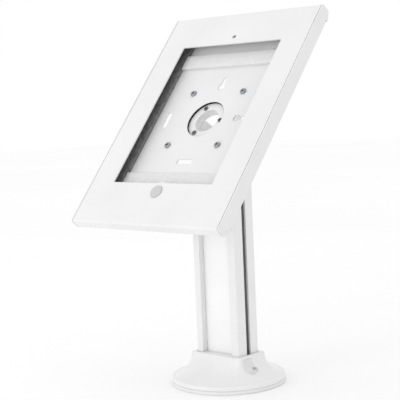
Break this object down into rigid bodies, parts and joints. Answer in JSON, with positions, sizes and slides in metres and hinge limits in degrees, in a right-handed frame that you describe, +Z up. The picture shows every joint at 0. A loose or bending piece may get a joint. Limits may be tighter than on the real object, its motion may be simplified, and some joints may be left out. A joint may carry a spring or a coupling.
{
  "type": "tablet kiosk stand",
  "caption": "White counter-top tablet kiosk: locking steel enclosure with a screen window and home button, on a tilting and swivelling head, a slotted column and a round flared base.",
  "frame": {"origin": "centre of the base's underside, on the surface the kiosk stands on", "axes": "+Z up along the column, -Y the side the panel faces, +X to the right of someone facing the panel; the row is at rest with the panel leaning back 40 degrees from upright"},
  "size_m": [0.221, 0.2027, 0.4281],
  "materials": {
    "white_coat": "fine-textured satin white powder coat on sheet steel",
    "white_extrusion": "satin white powder coat on extruded aluminium",
    "white_plastic": "moulded white plastic, satin",
    "button_plastic": "light grey moulded plastic, satin",
    "nylon": "natural nylon, matte",
    "dark_foam": "dark grey closed-cell foam",
    "light_foam": "light grey closed-cell foam",
    "black_rubber": "black rubber, matte",
    "zinc_steel": "zinc-plated steel",
    "lock_chrome": "bright chrome on zinc die casting"
  },
  "bodies": {
    "base": {"base_pad": "light_foam", "base_plate": "white_coat", "base_shroud": "white_plastic", "shroud_screws": "white_coat", "slot_nuts": "zinc_steel", "column": "white_extrusion", "column_strip": "white_plastic", "column_screws": "zinc_steel", "column_head": "white_coat", "head_screws": "zinc_steel", "tilt_bolt": "zinc_steel", "tilt_nut": "zinc_steel", "disc_springs": "zinc_steel", "tilt_friction_washers": "nylon"},
    "tilt_head": {"tilt_bracket": "white_coat", "tilt_spacer": "zinc_steel", "swivel_retainer": "white_coat", "swivel_front_washer": "nylon", "swivel_rear_washer": "nylon", "hub_screws": "zinc_steel"},
    "tray": {"rear_tray": "white_coat", "mount_plate": "white_coat", "mount_screws": "zinc_steel", "hub_grommet": "black_rubber", "top_pad": "light_foam", "bottom_pad": "light_foam", "left_foam_strip": "dark_foam", "right_foam_strip": "dark_foam", "cover_hinge_pins": "zinc_steel", "lock_body": "lock_chrome", "lock_nut": "zinc_steel"},
    "lock": {"lock_plug": "lock_chrome", "lock_cam": "zinc_steel", "cam_screw": "zinc_steel"},
    "cover": {"front_cover": "white_coat", "button_cup": "white_plastic", "button_spring": "zinc_steel"},
    "button": {"home_button": "button_plastic"}
  },
  "joints": [
    {"name": "tilt", "type": "hinge", "parent": "base", "child": "tilt_head", "pos_m": [0, 0.0114, 0.2789], "axis": [1, 0, 0], "range_deg": [-50, 40]},
    {"name": "swivel", "type": "hinge", "parent": "tilt_head", "child": "tray", "pos_m": [0, -0.01794, 0.30352], "axis": [0, -0.766, 0.6428], "range_deg": [-90, 90]},
    {"name": "cover_open", "type": "hinge", "parent": "tray", "child": "cover", "pos_m": [0, -0.1245, 0.19908], "axis": [1, 0, 0], "range_deg": [0, 90]},
    {"name": "lock_turn", "type": "hinge", "parent": "tray", "child": "lock", "pos_m": [0, 0.05974, 0.40543], "axis": [0, -0.766, 0.6428], "range_deg": [0, 90]},
    {"name": "button_press", "type": "slide", "parent": "cover", "child": "button", "axis": [0, 0.766, -0.6428], "range_m": [0, 0.0012], "stiffness_N_per_m": 800, "springref_m": -0.0004, "deforming": ["button_spring"]}
  ]
}
